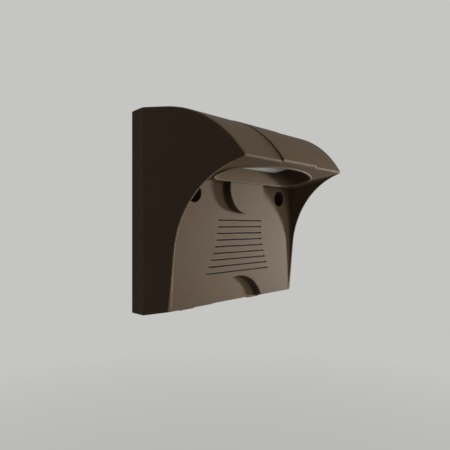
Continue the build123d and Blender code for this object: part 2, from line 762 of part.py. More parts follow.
# ---- captive screws ------------------------------------------------------------------------
def captive_screw(x):
    """Slotted screw whose ring groove keeps it in the access floor."""
    floor = facing(0)
    seat = ACCESS_FLOOR + 0.1
    piece = rod(floor, x, SCREW_HEIGHT, 4.75, seat, seat + 3.4)
    piece = chamfer(piece.faces().sort_by(Axis.Y)[0].edges(), 0.7)
    piece += rod(floor, x, SCREW_HEIGHT, SHANK, SCREW_TIP + 4, seat)
    cone = loft(
        [
            floor.offset(SCREW_TIP) * Pos(x, SCREW_HEIGHT) * Circle(1.4),
            floor.offset(SCREW_TIP + 4) * Pos(x, SCREW_HEIGHT) * Circle(SHANK),
        ]
    )
    piece += cone
    piece -= block(floor, x, SCREW_HEIGHT, 12, 1.3, seat + 1.8, seat + 5)
    ring = rod(floor, x, SCREW_HEIGHT, 6, RING_REACH, RING_REACH + RING_THICK)
    piece -= ring - rod(floor, x, SCREW_HEIGHT, SHANK - 0.5, 0, 10)
    return piece


def retaining_ring(x):
    """Split ring in the screw's groove, behind the access floor."""
    end = RING_REACH + RING_THICK
    ring = rod(facing(0), x, SCREW_HEIGHT, RING_OUT, RING_REACH, end)
    ring -= rod(facing(0), x, SCREW_HEIGHT, SHANK - 0.5, 0, 10)
    return ring - block(facing(0), x, SCREW_HEIGHT - 4, 2.6, 6, 0, 10)


# ---- back box -------------------------------------------------------------------------------
def box_outline(inset, corner):
    wide, tall = WIDTH - 2 * inset, HEIGHT - 2 * inset
    return Pos(0, HEIGHT / 2) * RectangleRounded(wide, tall, corner)


def fixed_lug(x):
    """Lug on the box's lower edge: an arm that passes under the seal, and a knuckle."""
    top = HINGE_HEIGHT + KNUCKLE
    low = HINGE_HEIGHT - KNUCKLE
    outline = Polyline(
        (-12, 0.6),
        (-12, 0),
        (-7, low),
        (HINGE_REACH, low),
        (HINGE_REACH, top),
        (0.4, 1.6),
        (-1, 1.6),
        (-1, 0.6),
        close=True,
    )
    low_x, high_x = x - FIXED_LUG / 2, x + FIXED_LUG / 2
    lug = span(make_face(outline), low_x, high_x)
    return lug + bar(low_x, high_x, HINGE_REACH, HINGE_HEIGHT, KNUCKLE)


def wall_holes():
    half_wide, half_tall = WALL_HOLES_WIDE / 2, WALL_HOLES_TALL / 2
    middle = HEIGHT / 2
    return [(x, middle + z) for x in (-half_wide, half_wide) for z in (-half_tall, half_tall)]


def junction_box_holes():
    middle = HEIGHT / 2
    wide, tall = BOX_LINE_WIDE / 2, BOX_LINE_TALL / 2
    return [(-wide, middle), (wide, middle), (0, middle - tall), (0, middle + tall)]


def back_box():
    back = facing(-SEAM)
    rim = SEAM - SEAM_GAP
    body = extrude(back * box_outline(0, BOX_CORNER), amount=rim)
    body -= across(
        polygon(
            SIDE,
            (-SEAM - 1, HEIGHT - BOX_TOP_FALL),
            (-SEAM, HEIGHT - BOX_TOP_FALL),
            (0, HEIGHT),
            (0, HEIGHT + 9),
            (-SEAM - 1, HEIGHT + 9),
        )
    )
    body -= extrude(back.offset(WALL) * box_outline(RIM, 3), amount=rim)
    sink = back.offset(rim - SEAL_SINK)
    body -= extrude(sink * box_outline(RIM - SEAL_WIDE, 4), amount=10)

    # stiffening ribs, the bosses round the holes and the posts for the door screws
    ribs = [(x, HEIGHT / 2, RIB_THICK, HEIGHT - 2 * WALL - 1) for x in (-RIB_X, RIB_X)]
    ribs += [(0, height, WIDTH - 2 * WALL - 1, RIB_THICK) for height in RIB_HEIGHTS]
    for x, height, wide, tall in ribs:
        body += block(back, x, height, wide, tall, WALL - 1, WALL + RIB_TALL)
    for x, height in wall_holes():
        body += peg(back, x, height, 8.3, WALL - 1, WALL + 3, 12)
    post_end = rim - POST_SINK
    for x in (-SCREW_X, SCREW_X):
        body += rod(back, x, SCREW_HEIGHT, POST, WALL - 1, post_end)
        body += block(back, x * 1.25, SCREW_HEIGHT, 48, 3, WALL - 1, rim - 5) & inside_box()
    body += peg(back, *GROUND_PLACE, 5.2, WALL - 1, WALL + GROUND_TALL, 12)

    for x, height in wall_holes():
        body -= rod(back, x, height, WALL_HOLE, -1, 12)
    for x, height in junction_box_holes():
        body -= rod(back, x, height, BOX_HOLE, -1, 12)
    body -= rod(back, 0, HEIGHT / 2, ENTRY_RADIUS, -1, 12)
    for x in (-SCREW_X, SCREW_X):
        seat = post_end - INSERT_SINK - INSERT_LONG
        body -= rod(back, x, SCREW_HEIGHT, INSERT_OUT, seat, rim)
        body -= rod(back, x, SCREW_HEIGHT, INSERT_BORE, seat - 2, rim)
    body -= peg(back, *GROUND_PLACE, CARRIER_SCREW, WALL + 1, WALL + GROUND_TALL + 1)
    body -= wall_gasket()

    for x in (-HINGE_X, HINGE_X):
        body += fixed_lug(x)
        low, high = x - FIXED_LUG, x + FIXED_LUG
        body -= bar(low, high, HINGE_REACH, HINGE_HEIGHT, PIN)
    return body


def inside_box():
    return extrude(facing(-SEAM) * box_outline(RIM - 1, 3), amount=SEAM)


def wall_gasket():
    """Foam ring let into the back face, flush with the wall."""
    ring = box_outline(FOAM_INSET, 6) - box_outline(FOAM_INSET + FOAM_WIDE, 4)
    return extrude(facing(-SEAM) * ring, amount=FOAM_SINK)


def seal_gasket():
    front = facing(-SEAM_GAP - SEAL_SINK)
    ring = box_outline(RIM - SEAL_WIDE, 4) - box_outline(RIM, 3)
    return extrude(front * ring, amount=SEAL_THICK)


def hinge_pins():
    half = FIXED_LUG / 2 + LUG_GAP + MOVING_LUG + 0.6
    pin = bar(HINGE_X - half, HINGE_X + half, HINGE_REACH, HINGE_HEIGHT, PIN)
    return group(pair(pin))


def screw_inserts():
    end = -SEAM_GAP - POST_SINK - INSERT_SINK
    insert = rod(facing(0), SCREW_X, SCREW_HEIGHT, INSERT_OUT, end - INSERT_LONG, end)
    insert -= rod(facing(0), SCREW_X, SCREW_HEIGHT, INSERT_BORE, end - INSERT_LONG - 1, end + 1)
    return group(pair(insert))


def ground_screw():
    seat = -SEAM + WALL + GROUND_TALL
    piece = screw(facing(0), *GROUND_PLACE, seat, CARRIER_SCREW, 6, 4.6, 2.6, sense=-1)
    return piece - block(facing(0), *GROUND_PLACE, 12, 1.1, seat + 1.4, seat + 5)


def entry_grommet():
    """Rubber bush in the supply entry: a plug in the hole and a flange inside the box."""
    back = -SEAM
    middle = HEIGHT / 2
    bush = rod(facing(0), 0, middle, ENTRY_RADIUS, back + 0.3, back + WALL)
    bush += rod(facing(0), 0, middle, ENTRY_RADIUS + 3, back + WALL, back + WALL + 2)
    return bush - rod(facing(0), 0, middle, GROMMET_BORE, back - 1, back + 9)


# ---- the assembly ---------------------------------------------------------------------------
def nodes():
    pieces = {
        "back_box": back_box(),
        "wall_gasket": wall_gasket(),
        "seal_gasket": seal_gasket(),
        "hinge_pins": hinge_pins(),
        "screw_inserts": screw_inserts(),
        "ground_screw": ground_screw(),
        "entry_grommet": entry_grommet(),
        "front_housing": front_housing(),
        "lens": lens(),
        "lens_gasket": lens_gasket(),
        "lens_frame": lens_frame(),
        "lens_frame_screws": lens_frame_screws(),
        "reflector": reflector(),
        "led_packages": led_packages(),
        "led_board": led_board(),
        "thermal_pad": thermal_pad(),
        "led_carrier": led_carrier(),
        "led_board_screws": led_board_screws(),
        "carrier_screws": carrier_screws(),
        "driver": driver(),
        "driver_bracket": driver_bracket(),
        "driver_screws": driver_screws(),
        "led_lead_red": lead_from_board(9),
        "led_lead_black": lead_from_board(-9),
        "wire_connectors": wire_connectors(),
        "connector_holder": connector_holder(),
        "holder_screws": holder_screws(),
    }
    for name, height in zip(("black", "white", "green"), CONNECTOR_HEIGHTS):
        pieces["supply_lead_" + name] = supply_lead(height)
    for name, x in (("right", SCREW_X), ("left", -SCREW_X)):
        pieces["captive_screw_" + name] = captive_screw(x)
        pieces["retaining_ring_" + name] = retaining_ring(x)
    return pieces


def main():
    os.makedirs("parts", exist_ok=True)
    for name, piece in nodes().items():
        export_step(piece, "parts/" + name + ".step")


main()
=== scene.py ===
import json
from math import cos, radians, sin

import bmesh
import bpy
from bpy.props import FloatProperty, FloatVectorProperty, IntProperty, PointerProperty
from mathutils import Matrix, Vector


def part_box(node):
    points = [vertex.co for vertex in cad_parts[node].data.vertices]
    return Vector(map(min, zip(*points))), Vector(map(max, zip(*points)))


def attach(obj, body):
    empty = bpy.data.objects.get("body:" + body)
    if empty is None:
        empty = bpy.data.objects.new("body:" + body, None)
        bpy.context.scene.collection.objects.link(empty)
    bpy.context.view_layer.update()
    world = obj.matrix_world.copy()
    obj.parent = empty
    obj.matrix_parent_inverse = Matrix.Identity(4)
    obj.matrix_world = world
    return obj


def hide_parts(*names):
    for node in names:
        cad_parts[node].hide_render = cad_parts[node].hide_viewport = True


bl_info = {
    "name": "Wall Pack Light",
    "version": (1, 0, 0),
    "blender": (4, 5, 0),
    "location": "View3D > Sidebar > Wall Pack",
    "description": "Finishes a hooded wall light on its packed frame",
    "category": "Object",
}

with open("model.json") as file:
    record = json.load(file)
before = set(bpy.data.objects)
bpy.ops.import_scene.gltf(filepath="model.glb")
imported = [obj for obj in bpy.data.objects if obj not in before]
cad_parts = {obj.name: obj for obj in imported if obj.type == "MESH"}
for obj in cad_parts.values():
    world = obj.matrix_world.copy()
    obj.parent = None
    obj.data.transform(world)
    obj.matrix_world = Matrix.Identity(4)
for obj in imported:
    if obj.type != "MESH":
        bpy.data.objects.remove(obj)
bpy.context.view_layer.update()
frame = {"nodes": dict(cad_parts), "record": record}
HOUSING_LOW, HOUSING_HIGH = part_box("front_housing")

# Lengths are in metres, with +Z up, +X to the right and the front towards -Y.

# directions
SLOPE = radians(12.0)               # slope of the underside and its light opening
LIGHT_UP = Vector((0.0, sin(SLOPE), cos(SLOPE)))
FORWARD = Vector((0.0, -1.0, 0.0))
UPWARD = Vector((0.0, 0.0, 1.0))
LEFTWARD = Vector((-1.0, 0.0, 0.0))

# the leaning front panel and the row of grooves in it
PANEL_WAY = Vector((0.0, -0.99922, -0.03944))   # outward from the panel
PANEL_REACH = 0.07112               # from the origin to the panel along that way
GROOVE_DEPTHS = (0.0001, 0.0007)    # where the grooves' painted shade starts and is at its full
GROOVE_FLOOR = 0.0022               # past the deepest groove
GROOVE_HALF_WIDTH = 0.076
GROOVE_HEIGHTS = (-0.0925, -0.0085)

# the powder coat: how edges, hollows and grooves are found, and the painted highlight and
# painted shade that they get
SAMPLES = 6                         # rays that look for edges and hollows
HIGHLIGHT_LEVELS = (0.92, 0.998)         # how far the rounded and the true direction agree, from full to no painted highlight
HOLLOW_REACH = 0.004
HOLLOW_LEVELS = (0.35, 0.92)        # how open the surface is within that reach
HOLLOW_SHADE = 0.4                  # how much painted shade the tightest hollow gets
DARKEST = 0.15                      # share of the coat's colour kept under full painted shade, in grooves and hollows
PEEL_DEPTH = 0.00006

# how meshes are measured
WELD = 0.000002                     # corners nearer than this are one
END_FACE = 0.0001                   # how thick a slice counts as a lead's end
HEAD_SHARE = 0.8                    # share of a screw's radius that counts as its head

# small pieces that the scene adds
DOOR_THREAD = {"Radius": 0.00242, "Length": 0.0074}
DOOR_THREAD_TIP = 0.0042            # plain end of the door screw's shank
PACKAGE_HALF = 0.0004               # from an LED package's middle to its lit face
PAD_DROP = 0.0008                   # from its lit face to the board
SOLDER_PAD = {"Span": 0.0062, "Wide": 0.0036}
PAD_LONG, PAD_THICK = 0.0013, 0.0003
RIB_MARGIN = 0.012                  # how much shorter than the driver its ribs are
RIB_RADIUS = 0.0011
GRIP = {"Long": 0.0052, "Radius": 0.00045}
GRIP_START, GRIP_STEP, GRIPS = 0.002, 0.0016, 5     # from a connector's outer end
LEAD_RADIUS = 0.0011
BUSH_STEPS = ((2.4, 0.0012), (1.7, 0.0036))     # radii as shares of the lead's, and depths
BELOW_GLASS = 0.03                  # where the rays that place the prisms start
RAY_LENGTH = 0.1
FACES_DOWN = -0.98                  # how squarely the glass has to face those rays

# the photograph's camera, solved from the object's level and upright edges
CAMERA_PLACE = Vector((-0.485, -0.4906, -0.0184))
CAMERA_TURN = radians(-47.0)
CAMERA_LENS = 33.8                  # millimetres, on the sensor below
SENSOR = 36.0

# lamps: how far off they stand, and the sides of their squares
LAMP_SPREAD = radians(100)
KEY_AWAY, KEY_SIDE = 1.2, 0.16
SOFT_AWAY, FRONT_SIDE, BACK_SIDE = 1.5, 0.8, 0.5
TOP_PLACE, TOP_SIDE = Vector((0.0, -0.3, 1.5)), 1.0
FRONT_TURN, BACK_TURN = radians(20), radians(18)    # towards the right, from front and back
KEY_COLOUR = (1.0, 0.97, 0.93)
FLOOR_REACH = 6.0
FLOOR_FADE = (0.5, 2.5)             # where the floor's paint starts and ends to fade


# ---- settings --------------------------------------------------------------------------
class CastingSettings(bpy.types.PropertyGroup):
    coat: FloatVectorProperty(
        name="Coat", description="Colour of the powder coat", subtype="COLOR",
        default=(0.089, 0.057, 0.030),
    )
    fleck: FloatVectorProperty(
        name="Fleck", description="Colour of its metallic flecks", subtype="COLOR",
        default=(0.17, 0.13, 0.085),
    )
    roughness: FloatProperty(
        name="Roughness", description="Roughness of the coat", default=0.66, min=0, max=1,
    )
    grain: FloatProperty(
        name="Grain", description="Size of the coat's orange peel", default=0.0012,
        unit="LENGTH",
    )
    edge: FloatProperty(
        name="Edge", description="Rounding that the coat gives to sharp edges", default=0.0011,
        unit="LENGTH",
    )
    # painted highlight: colour that sharp edges are brightened towards
    rubbed: FloatVectorProperty(
        name="Highlight", description="Colour of the rubbed edges", subtype="COLOR",
        default=(0.32, 0.27, 0.21),
    )
    # strength of the painted highlight on sharp edges
    edge_highlight: FloatProperty(
        name="Edge highlight", description="How far the edges are rubbed brighter", default=0.8,
        min=0, max=1,
    )
    # strength of the painted shade in the panel's grooves
    groove_shade: FloatProperty(
        name="Recess", description="How far the coat thins out in the narrow grooves",
        default=0.92, min=0, max=1,
    )


class GlassSettings(bpy.types.PropertyGroup):
    tint: FloatVectorProperty(
        name="Tint", description="Colour of the drop glass", subtype="COLOR",
        default=(0.78, 0.79, 0.77),
    )
    frost: FloatProperty(
        name="Frost", description="Roughness of the glass", default=0.3, min=0, max=1,
    )
    prism: FloatProperty(
        name="Prism", description="Spacing of the pressed prisms", default=0.004,
        unit="LENGTH",
    )
    prism_rise: FloatProperty(
        name="Prism rise", description="Height of the pressed prisms", default=0.0009,
        unit="LENGTH",
    )


class EngineSettings(bpy.types.PropertyGroup):
    dome: FloatProperty(
        name="Dome", description="Radius of the phosphor on each package", default=0.0019,
        unit="LENGTH",
    )
    phosphor: FloatVectorProperty(
        name="Phosphor", description="Colour of the phosphor", subtype="COLOR",
        default=(0.75, 0.5, 0.06),
    )


class HardwareSettings(bpy.types.PropertyGroup):
    zinc: FloatVectorProperty(
        name="Zinc", description="Colour of the plated screws", subtype="COLOR",
        default=(0.55, 0.55, 0.52),
    )
    pitch: FloatProperty(
        name="Pitch", description="Pitch of the small screws' threads", default=0.0008,
        unit="LENGTH",
    )
    door_pitch: FloatProperty(
        name="Door pitch", description="Pitch of the door screws' threads", default=0.001,
        unit="LENGTH",
    )
    ribs: IntProperty(name="Ribs", description="Ribs on the driver's case", default=7, min=2)


class StageSettings(bpy.types.PropertyGroup):
    floor: FloatVectorProperty(
        name="Floor", description="Colour of floor and background", subtype="COLOR",
        default=(0.56, 0.56, 0.55),
    )
    drop: FloatProperty(
        name="Drop", description="How far the floor lies below the wall light's origin",
        default=0.90, unit="LENGTH",
    )
    key: FloatProperty(name="Key", description="Power of the key lamp in watts", default=5.1)
    key_turn: FloatProperty(
        name="Key turn", description="Angle of the key lamp from the front towards the right",
        default=radians(67), subtype="ANGLE",
    )
    key_rise: FloatProperty(
        name="Key rise", description="Angle of the key lamp above the light's middle",
        default=radians(-8), subtype="ANGLE",
    )
    front: FloatProperty(
        name="Front", description="Power of the large soft lamp in front in watts", default=3.1,
    )
    back: FloatProperty(
        name="Back", description="Power of the soft lamp behind in watts", default=5.0,
    )
    top: FloatProperty(
        name="Top", description="Power of the soft lamp above in watts", default=1.9,
    )
    fill: FloatProperty(name="Fill", description="Strength of the soft surround", default=0.12)


# ---- materials -------------------------------------------------------------------------
def blank_material(name, roughness, metallic, specular):
    """A new node material; returns it with its node tree and its shader."""
    made = bpy.data.materials.new(name)
    made.use_nodes = True
    tree = made.node_tree
    shader = tree.nodes["Principled BSDF"]
    shader.inputs["Roughness"].default_value = roughness
    shader.inputs["Metallic"].default_value = metallic
    shader.inputs["Specular IOR Level"].default_value = specular
    return made, tree, shader


def noise(tree, size, detail=3.0, stretch=(1.0, 1.0, 1.0)):
    """Noise on Object coordinates with features of about the given size in metres."""
    place = tree.nodes.new("ShaderNodeTexCoord")
    mapping = tree.nodes.new("ShaderNodeMapping")
    mapping.inputs["Scale"].default_value = stretch
    texture = tree.nodes.new("ShaderNodeTexNoise")
    texture.inputs["Scale"].default_value = 1.0 / size
    texture.inputs["Detail"].default_value = detail
    tree.links.new(place.outputs["Object"], mapping.inputs["Vector"])
    tree.links.new(mapping.outputs["Vector"], texture.inputs["Vector"])
    return texture.outputs["Fac"]


def ramp(tree, value, stops):
    """Colour ramp over a value; stops are (place, colour)."""
    node = tree.nodes.new("ShaderNodeValToRGB")
    elements = node.color_ramp.elements
    while len(elements) < len(stops):
        elements.new(0.5)
    for element, (place, colour) in zip(elements, stops):
        element.position = place
        element.color = (*colour[:3], 1.0)
    tree.links.new(value, node.inputs["Fac"])
    return node.outputs["Color"]


def map_range(tree, value, low, high, start=0.3, end=0.7):
    """The value's range from start to end, stretched from low to high."""
    node = tree.nodes.new("ShaderNodeMapRange")
    limits = {"From Min": start, "From Max": end, "To Min": low, "To Max": high}
    for name, number in limits.items():
        node.inputs[name].default_value = number
    tree.links.new(value, node.inputs["Value"])
    return node.outputs["Result"]


def soft_edges(tree, radius):
    """The surface's direction as if its edges were rounded by the radius."""
    node = tree.nodes.new("ShaderNodeBevel")
    node.samples = SAMPLES
    node.inputs["Radius"].default_value = radius
    return node.outputs["Normal"]


def bump(tree, shader, height, depth, edge=0.0):
    """Fine relief, over edges softened by the given radius."""
    node = tree.nodes.new("ShaderNodeBump")
    node.inputs["Distance"].default_value = depth
    tree.links.new(height, node.inputs["Height"])
    tree.links.new(node.outputs["Normal"], shader.inputs["Normal"])
    if edge:
        tree.links.new(soft_edges(tree, edge), node.inputs["Normal"])


def shade(colour, factor):
    """The colour made lighter or darker by a factor."""
    return tuple(min(channel * factor, 1.0) for channel in colour[:3])


def plain_finish(name, colour, roughness, grain, depth, metallic=0.0, specular=0.5,
                 drift=0.12, stretch=(1.0, 1.0, 1.0)):
    """Moulded, sheet or machined finish: a fine grain and a slow drift of tone."""
    made, tree, shader = blank_material(name, roughness, metallic, specular)
    slow = noise(tree, grain * 25, 2.0, stretch)
    tones = [(0.3, shade(colour, 1 - drift)), (0.7, shade(colour, 1 + drift))]
    tree.links.new(ramp(tree, slow, tones), shader.inputs["Base Color"])
    fine = noise(tree, grain, 4.0, stretch)
    rough = map_range(tree, fine, roughness * 0.85, min(roughness * 1.15, 1.0))
    tree.links.new(rough, shader.inputs["Roughness"])
    bump(tree, shader, fine, depth)
    return made


def worked_out(tree, operation, first, second, kind="ShaderNodeMath"):
    """A Math node, or a Vector Math node that gives a number, on sockets or values."""
    node = tree.nodes.new(kind)
    node.operation = operation
    for side, value in enumerate((first, second)):
        if isinstance(value, bpy.types.NodeSocket):
            tree.links.new(value, node.inputs[side])
        else:
            node.inputs[side].default_value = value
    return node.outputs["Value"]


def blended(tree, factor, under, over, way="MIX"):
    """One colour over another; the factor and the upper colour are sockets or values."""
    node = tree.nodes.new("ShaderNodeMix")
    node.data_type = "RGBA"
    node.blend_type = way
    for name, value in (("Factor", factor), ("A", under), ("B", over)):
        if isinstance(value, bpy.types.NodeSocket):
            tree.links.new(value, node.inputs[name])
        else:
            node.inputs[name].default_value = value
    return node.outputs["Result"]


def in_grooves(tree):
    """1 in the front panel's row of grooves, 0 elsewhere; it places the grooves' painted shade
    and roughness.
    """
    place = tree.nodes.new("ShaderNodeTexCoord").outputs["Object"]
    reach = worked_out(tree, "DOT_PRODUCT", place, PANEL_WAY, "ShaderNodeVectorMath")
    deep = worked_out(tree, "SUBTRACT", PANEL_REACH, reach)
    parts = tree.nodes.new("ShaderNodeSeparateXYZ")
    tree.links.new(place, parts.inputs[0])
    across = worked_out(tree, "ABSOLUTE", parts.outputs["X"], 0.0)
    mask = map_range(tree, deep, 0.0, 1.0, *GROOVE_DEPTHS)
    for operation, value, limit in (
        ("LESS_THAN", deep, GROOVE_FLOOR),
        ("LESS_THAN", across, GROOVE_HALF_WIDTH),
        ("GREATER_THAN", parts.outputs["Z"], GROOVE_HEIGHTS[0]),
        ("LESS_THAN", parts.outputs["Z"], GROOVE_HEIGHTS[1]),
    ):
        mask = worked_out(tree, "MULTIPLY", mask, worked_out(tree, operation, value, limit))
    return mask


def painted_light_and_shade(tree, colour, settings):
    """The coat's colour with a painted highlight along its edges, and painted shade in narrow
    hollows and in the grooves; also gives the grooves' mask.
    """
    soft = soft_edges(tree, settings.edge)
    true = tree.nodes.new("ShaderNodeNewGeometry").outputs["Normal"]
    level = worked_out(tree, "DOT_PRODUCT", soft, true, "ShaderNodeVectorMath")
    # painted highlight: brighter where the rounded direction parts from the true one
    edge_highlight = map_range(tree, level, settings.edge_highlight, 0.0, *HIGHLIGHT_LEVELS)
    # painted shade in narrow hollows
    hollow = tree.nodes.new("ShaderNodeAmbientOcclusion")
    hollow.samples = SAMPLES
    hollow.only_local = True
    hollow.inputs["Distance"].default_value = HOLLOW_REACH
    painted_shade = map_range(tree, hollow.outputs["AO"], HOLLOW_SHADE, 0.0, *HOLLOW_LEVELS)
    # painted shade in the panel's grooves; the same mask makes them rougher
    grooves = worked_out(tree, "MULTIPLY", in_grooves(tree), settings.groove_shade)
    painted_shade = worked_out(tree, "MAXIMUM", painted_shade, grooves)
    bright = blended(tree, edge_highlight, colour, (*settings.rubbed, 1.0))
    dark = (*shade(settings.coat, DARKEST), 1.0)
    return blended(tree, painted_shade, bright, dark), grooves


def powder_coat(settings):
    """Dark bronze powder coat: orange peel, tiny metallic flecks, a slow drift, and painted
    highlight and painted shade.
    """
    made, tree, shader = blank_material("dark_bronze_powder_coat", settings.roughness, 0.0, 0.18)
    flecks = noise(tree, settings.grain * 0.35, 2.0)
    coat, fleck = settings.coat, settings.fleck
    stops = [(0.42, shade(coat, 0.9)), (0.60, coat), (0.74, fleck)]
    speckled = ramp(tree, flecks, stops)
    slow = noise(tree, settings.grain * 60, 2.0)
    drift = ramp(tree, slow, [(0.3, (0.93, 0.93, 0.93)), (0.7, (1.06, 1.05, 1.03))])
    varied = blended(tree, 1.0, speckled, drift, "MULTIPLY")
    # painted highlight along edges, painted shade in hollows and grooves
    coat_with_painted_light, grooves = painted_light_and_shade(tree, varied, settings)
    tree.links.new(coat_with_painted_light, shader.inputs["Base Color"])
    peel = noise(tree, settings.grain, 3.0)
    rough = map_range(tree, peel, settings.roughness - 0.05, settings.roughness + 0.07)
    rough = worked_out(tree, "MAXIMUM", rough, grooves)
    tree.links.new(rough, shader.inputs["Roughness"])
    bump(tree, shader, peel, PEEL_DEPTH, settings.edge)
    return made


def drop_glass_material(settings):
    """Frosted pressed glass with a fine ripple."""
    made, tree, shader = blank_material("prismatic_glass", settings.frost, 0.0, 0.5)
    shader.inputs["Transmission Weight"].default_value = 0.35
    shader.inputs["IOR"].default_value = 1.46
    bump(tree, shader, noise(tree, settings.prism * 0.3, 2.0), 0.0003)
    milky = noise(tree, 0.02, 2.0)
    tones = [(0.3, shade(settings.tint, 0.94)), (0.7, settings.tint)]
    tree.links.new(ramp(tree, milky, tones), shader.inputs["Base Color"])
    return made


# ---- mesh helpers ----------------------------------------------------------------------
def body_of(node):
    bodies = frame["record"]["behaviour"]["bodies"]
    return next(body for body, nodes in bodies.items() if node in nodes)


def bake_modifiers(piece):
    """Turns what the modifiers show into the piece's own mesh, and takes them off."""
    view = bpy.context.evaluated_depsgraph_get()
    view.update()
    done = bpy.data.meshes.new_from_object(piece.evaluated_get(view), depsgraph=view)
    done.name = piece.name
    piece.modifiers.clear()
    piece.data = done


def turn_to(way):
    """The angles that turn +Z to the given direction."""
    return way.to_track_quat("Z", "Y").to_euler()


def middle_of(corners):
    return sum(corners, Vector()) / len(corners)


def parts_of(node):
    """The separate solids of a node, each as a list of its corners, in a fixed order."""
    working = bmesh.new()
    working.from_mesh(frame["nodes"][node].data)
    bmesh.ops.remove_doubles(working, verts=working.verts, dist=WELD)
    reached, groups = set(), []
    for first in working.verts:
        if first in reached:
            continue
        reached.add(first)
        group = [first]
        for corner in group:
            for link in corner.link_edges:
                other = link.other_vert(corner)
                if other not in reached:
                    reached.add(other)
                    group.append(other)
        groups.append([corner.co.copy() for corner in group])
    working.free()
    return groups


def finish_node(node, material):
    """Gives its material to a CAD node that is shown as it is."""
    mesh = frame["nodes"][node].data
    mesh.materials.clear()
    mesh.materials.append(material)


def measure_screws(node, way):
    """Seats of a node's screws, and the sizes that they share."""
    seats = []
    for corners in parts_of(node):
        middle = middle_of(corners)
        out = [(corner - middle - way * (corner - middle).dot(way)).length for corner in corners]
        along = [corner.dot(way) for corner in corners]
        rim = max(out) * HEAD_SHARE
        wide = [place for place, radius in zip(along, out) if radius > rim]
        seat = middle + way * (min(wide) - middle.dot(way))
        seats.append(seat)
    sizes = {
        "Head Radius": max(out), "Head Height": max(along) - min(wide),
        "Shank Radius": min(out), "Length": min(wide) - min(along),
    }
    return seats, sizes


# ---- geometry node trees ---------------------------------------------------------------
def new_tree(name, numbers=(), vectors=(), others=()):
    """A tree with named inputs; returns it with its input sockets by name."""
    group = bpy.data.node_groups.new(name, "GeometryNodeTree")
    face = group.interface
    face.new_socket("Points", in_out="INPUT", socket_type="NodeSocketGeometry")
    kinds = [(label, "NodeSocketFloat") for label in numbers]
    kinds += [(label, "NodeSocketVector") for label in vectors]
    kinds += list(others) + [("Material", "NodeSocketMaterial")]
    for label, kind in kinds:
        face.new_socket(label, in_out="INPUT", socket_type=kind)
    face.new_socket("Geometry", in_out="OUTPUT", socket_type="NodeSocketGeometry")
    start = group.nodes.new("NodeGroupInput")
    return group, {socket.name: socket for socket in start.outputs if socket.name}


def add(group, kind, inputs=(), out=0, **properties):
    """Adds a node; inputs gives each socket a value, or another node's output."""
    node = group.nodes.new(kind)
    for name, value in properties.items():
        setattr(node, name, value)
    for name, value in dict(inputs).items():
        for item in value if isinstance(value, list) else [value]:
            if isinstance(item, bpy.types.NodeSocket):
                group.links.new(item, node.inputs[name])
            else:
                node.inputs[name].default_value = item
    return node.outputs[out]


def times(group, value, factor):
    return add(group, "ShaderNodeMath", {0: value, 1: factor}, operation="MULTIPLY")


def moved_up(group, shape, rise):
    """The shape moved along its own Z by a socket or a number."""
    place = add(group, "ShaderNodeCombineXYZ", {"Z": rise})
    return add(group, "GeometryNodeTransform", {"Geometry": shape, "Translation": place})


def joined(group, shapes):
    return add(group, "GeometryNodeJoinGeometry", {"Geometry": shapes})


def spread(group, inputs, shape, **links):
    """Ends the tree: the shape on every point, realized, with its material."""
    links = {"Points": inputs["Points"], "Instance": shape, **links}
    if "Turn" in inputs:
        links["Rotation"] = inputs["Turn"]
    copies = add(group, "GeometryNodeInstanceOnPoints", links)
    solid = add(group, "GeometryNodeRealizeInstances", {"Geometry": copies})
    links = {"Geometry": solid, "Material": inputs["Material"]}
    finished = add(group, "GeometryNodeSetMaterial", links)
    group.links.new(finished, group.nodes.new("NodeGroupOutput").inputs[0])
    return group


def helix(group, radius, pitch, length, depth):
    """Screw thread from z = 0 down to the length, cut to the given depth."""
    turns = add(group, "ShaderNodeMath", {0: length, 1: pitch}, operation="DIVIDE")
    path = add(group, "GeometryNodeCurveSpiral", {
        "Resolution": 16, "Rotations": turns, "Start Radius": radius, "End Radius": radius,
        "Height": length,
    })
    ridge = add(group, "GeometryNodeCurvePrimitiveCircle", {"Resolution": 3, "Radius": depth})
    links = {"Curve": path, "Profile Curve": ridge, "Fill Caps": True}
    thread = add(group, "GeometryNodeCurveToMesh", links)
    return moved_up(group, thread, times(group, length, -1.0))


def thread_tree():
    """Thread of a door screw."""
    group, inputs = new_tree("door_screw_thread", ("Radius", "Pitch", "Length"), ("Turn",))
    depth = times(group, inputs["Pitch"], 0.26)
    thread = helix(group, inputs["Radius"], inputs["Pitch"], inputs["Length"], depth)
    forward = moved_up(group, thread, inputs["Length"])
    return spread(group, inputs, forward)


